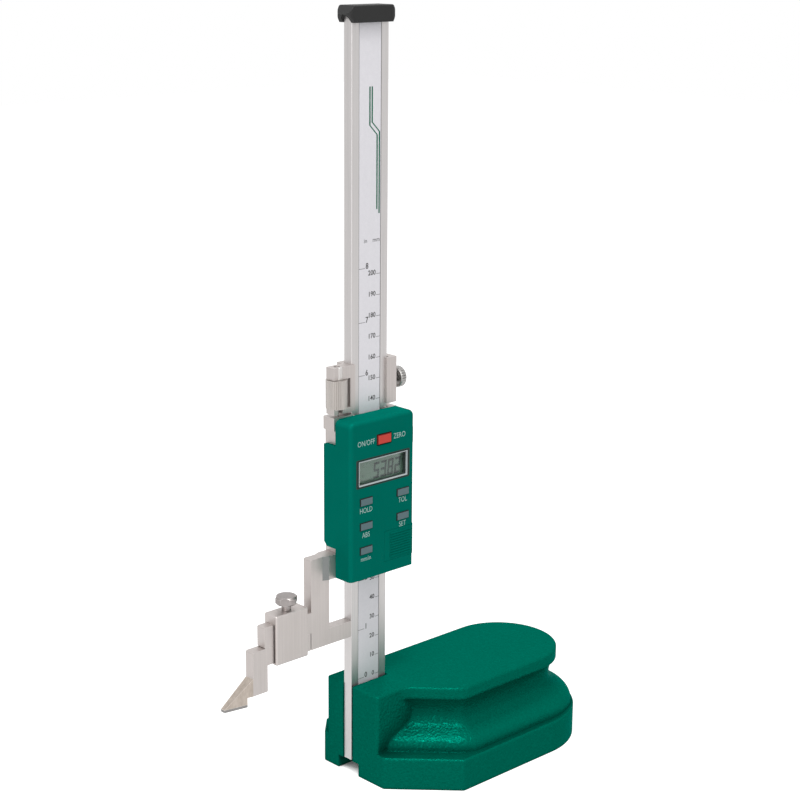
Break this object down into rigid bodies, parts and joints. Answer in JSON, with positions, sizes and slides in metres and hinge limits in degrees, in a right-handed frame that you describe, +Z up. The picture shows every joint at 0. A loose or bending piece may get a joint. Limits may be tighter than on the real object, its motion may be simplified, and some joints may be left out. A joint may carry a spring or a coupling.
{
  "type": "digital height gauge",
  "caption": "Small digital height gauge: green iron base with finger grips, steel beam, slider with display housing, fine adjustment and a clamped scriber.",
  "frame": {"origin": "middle of the base's sole, on the surface plate", "axes": "+Z up the beam, the scriber reaches towards -X, the display faces -Y"},
  "size_m": [0.2064, 0.081, 0.3701],
  "materials": {
    "green_casting": "hammertone",
    "beam_steel": "ground",
    "scale_silver": "satin",
    "frame_steel": "ground",
    "screw_steel": "satin",
    "bright_steel": "polished",
    "black_plastic": "satin",
    "green_plastic": "satin",
    "clear_window": "clear",
    "display": "smooth",
    "board_green": "satin",
    "sensor_gold": "satin",
    "red_key": "satin",
    "grey_key": "satin",
    "gib_brass": "satin",
    "carbide": "ground"
  },
  "bodies": {
    "base": {"base_casting": "green_casting", "beam": "beam_steel", "scale_strip": "scale_silver", "beam_screws": "screw_steel", "beam_end_cap": "black_plastic"},
    "carriage": {"adjust_carriage": "frame_steel", "carriage_gib": "gib_brass"},
    "thumb_nut": {"adjust_nut": "frame_steel"},
    "carriage_screw": {"carriage_clamp_screw": "screw_steel"},
    "slider": {"slider_frame": "frame_steel", "adjust_rod": "screw_steel", "slider_gib": "gib_brass", "gib_screws": "screw_steel", "housing_shell": "green_plastic", "housing_screws": "screw_steel", "lcd_gasket": "black_plastic", "lcd_frame": "bright_steel", "lcd_window": "clear_window", "lcd_module": "display", "circuit_board": "board_green", "reader_plate": "sensor_gold", "battery_cell": "bright_steel", "battery_contacts": "gib_brass"},
    "lock_screw": {"slider_lock_screw": "screw_steel"},
    "zero_button": {"button_zero": "red_key"},
    "hold_button": {"button_hold": "grey_key"},
    "abs_button": {"button_abs": "grey_key"},
    "unit_button": {"button_unit": "grey_key"},
    "tol_button": {"button_tol": "grey_key"},
    "set_button": {"button_set": "grey_key"},
    "battery_door": {"battery_cover": "green_plastic"},
    "port_cover": {"data_port_cover": "green_plastic"},
    "clamp": {"scriber_clamp": "frame_steel"},
    "thumb_screw": {"clamp_thumb_screw": "screw_steel"},
    "scriber_bar": {"scriber": "frame_steel", "carbide_tip": "carbide"}
  },
  "joints": [
    {"name": "carriage_travel", "type": "slide", "parent": "base", "child": "carriage", "axis": [0, 0, 1], "range_m": [-0.0508, 0.1452]},
    {"name": "nut_turn", "type": "hinge", "parent": "carriage", "child": "thumb_nut", "pos_m": [-0.0731, 0.01275, 0.19415], "axis": [0, 0, 1], "range_deg": [-720, 2160]},
    {"name": "fine_travel", "type": "slide", "parent": "carriage", "child": "slider", "axis": [0, 0, 1], "range_m": [-0.003, 0.001]},
    {"name": "carriage_screw_turn", "type": "hinge", "parent": "carriage", "child": "carriage_screw", "pos_m": [-0.0358, 0.014, 0.19552], "axis": [1, 0, 0], "range_deg": [0, 360]},
    {"name": "lock_screw_turn", "type": "hinge", "parent": "slider", "child": "lock_screw", "pos_m": [-0.0358, 0.014, 0.15062], "axis": [1, 0, 0], "range_deg": [0, 360]},
    {"name": "zero_press", "type": "slide", "parent": "slider", "child": "zero_button", "axis": [0, 1, 0], "range_m": [0, 0.0006], "stiffness_N_per_m": 800},
    {"name": "hold_press", "type": "slide", "parent": "slider", "child": "hold_button", "axis": [0, 1, 0], "range_m": [0, 0.0006], "stiffness_N_per_m": 800},
    {"name": "abs_press", "type": "slide", "parent": "slider", "child": "abs_button", "axis": [0, 1, 0], "range_m": [0, 0.0006], "stiffness_N_per_m": 800},
    {"name": "unit_press", "type": "slide", "parent": "slider", "child": "unit_button", "axis": [0, 1, 0], "range_m": [0, 0.0006], "stiffness_N_per_m": 800},
    {"name": "tol_press", "type": "slide", "parent": "slider", "child": "tol_button", "axis": [0, 1, 0], "range_m": [0, 0.0006], "stiffness_N_per_m": 800},
    {"name": "set_press", "type": "slide", "parent": "slider", "child": "set_button", "axis": [0, 1, 0], "range_m": [0, 0.0006], "stiffness_N_per_m": 800},
    {"name": "battery_door_slide", "type": "slide", "parent": "slider", "child": "battery_door", "axis": [1, 0, 0], "range_m": [0, 0.02]},
    {"name": "port_cover_pull", "type": "slide", "parent": "slider", "child": "port_cover", "axis": [1, 0, 0], "range_m": [0, 0.006]},
    {"name": "clamp_slide", "type": "slide", "parent": "slider", "child": "clamp", "axis": [1, 0, 0], "range_m": [-0.0035, 0.003]},
    {"name": "thumb_screw_turn", "type": "hinge", "parent": "clamp", "child": "thumb_screw", "pos_m": [-0.1034, 0.014, 0.098], "axis": [0, 0, 1], "range_deg": [0, 360]},
    {"name": "scriber_slide", "type": "slide", "parent": "slider", "child": "scriber_bar", "axis": [1, 0, 0], "range_m": [-0.01, 0]}
  ],
  "couplings": [
    {"joint": "nut_turn", "follows": "fine_travel", "rad_per_m": -12566}
  ]
}
